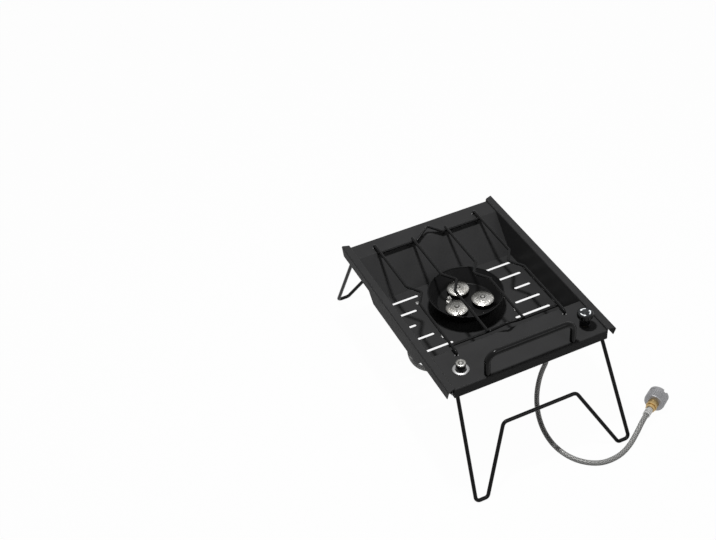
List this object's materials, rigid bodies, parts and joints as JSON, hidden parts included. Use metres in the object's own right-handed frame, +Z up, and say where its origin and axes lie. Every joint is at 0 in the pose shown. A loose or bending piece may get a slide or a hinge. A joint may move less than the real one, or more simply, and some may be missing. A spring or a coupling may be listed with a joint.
{
  "type": "butane cassette stove",
  "caption": "Drop-in camp gas stove: folded black tray on folding wire legs, with a cup of small burners, wire pot grate, push igniter, valve knob and braided supply hose.",
  "frame": {"origin": "on the floor under the middle of the tray and its two legs, without the hose", "axes": "+X to the right of a user who faces the handle side, +Y from the handle side to the rear deck, +Z up"},
  "size_m": [0.3594, 0.5299, 0.2104],
  "materials": {
    "tray_black": "semi-gloss black powder coat",
    "wire_black": "smooth black coated wire",
    "steel": "bright zinc and stainless steel",
    "head_steel": "turned stainless steel",
    "cast_alloy": "die cast, as cast",
    "brass": "machined brass",
    "ceramic": "glazed ceramic",
    "lead_black": "silicone insulation",
    "rubber": "moulded nitrile",
    "knob_dark": "dark metallic lacquer",
    "plastic_black": "moulded black",
    "chrome": "polished chrome",
    "braid": "stainless steel braid"
  },
  "bodies": {
    "stove": {"tray": "tray_black", "burner_cup": "tray_black", "burner_spacers": "steel", "burner_bracket": "steel", "burner_bracket_screws": "steel", "burner_manifold": "cast_alloy", "mixing_tube": "brass", "gas_jet": "brass", "electrode_insulator": "ceramic", "electrode_rod": "steel", "ignition_lead": "lead_black", "valve_body": "brass", "valve_nut": "steel", "igniter_barrel": "plastic_black", "igniter_nut": "steel", "igniter_bezel": "chrome", "igniter_spring": "steel", "igniter_terminal": "brass", "handle": "wire_black", "handle_washers": "steel", "handle_screws": "steel", "gas_supply_tube": "steel", "gas_supply_nuts": "brass", "hose_nut": "brass", "hose_ferrule": "steel", "gas_hose": "braid", "connector_ferrule": "steel", "connector_body": "brass", "connector_collar": "cast_alloy", "connector_nozzle": "brass", "connector_seal": "rubber", "burner_head_rear": "head_steel", "burner_cap_rear": "head_steel", "burner_head_left": "head_steel", "burner_cap_left": "head_steel", "burner_head_right": "head_steel", "burner_cap_right": "head_steel"},
    "front_leg": {"front_leg": "wire_black", "front_leg_push_nuts": "steel"},
    "rear_leg": {"rear_leg": "wire_black", "rear_leg_push_nuts": "steel"},
    "pot_grate": {"grate_wire_outer_right": "wire_black", "grate_wire_inner_right": "wire_black", "grate_wire_inner_left": "wire_black", "grate_wire_outer_left": "wire_black", "grate_cross_wire_rear": "wire_black", "grate_cross_wire_front": "wire_black"},
    "valve_knob": {"valve_knob": "knob_dark", "valve_knob_disc": "knob_dark", "valve_stem": "steel"},
    "igniter_button": {"igniter_button": "plastic_black", "igniter_cap": "chrome"}
  },
  "joints": [
    {"name": "front_leg_fold", "type": "hinge", "parent": "stove", "child": "front_leg", "pos_m": [0, -0.17219, 0.15983], "axis": [1, 0, 0], "range_deg": [0, 90]},
    {"name": "rear_leg_fold", "type": "hinge", "parent": "stove", "child": "rear_leg", "pos_m": [0, 0.17219, 0.15983], "axis": [-1, 0, 0], "range_deg": [0, 81]},
    {"name": "grate_lift", "type": "slide", "parent": "stove", "child": "pot_grate", "axis": [0, 0, 1], "range_m": [0, 0.014]},
    {"name": "valve_knob_turn", "type": "hinge", "parent": "stove", "child": "valve_knob", "pos_m": [0.1027, -0.154, 0.16883], "axis": [0, 0, 1], "range_deg": [0, 270]},
    {"name": "igniter_press", "type": "slide", "parent": "stove", "child": "igniter_button", "axis": [0, 0, -1], "range_m": [0, 0.006], "stiffness_N_per_m": 1500, "springref_m": -0.004, "deforming": ["igniter_spring"]}
  ]
}
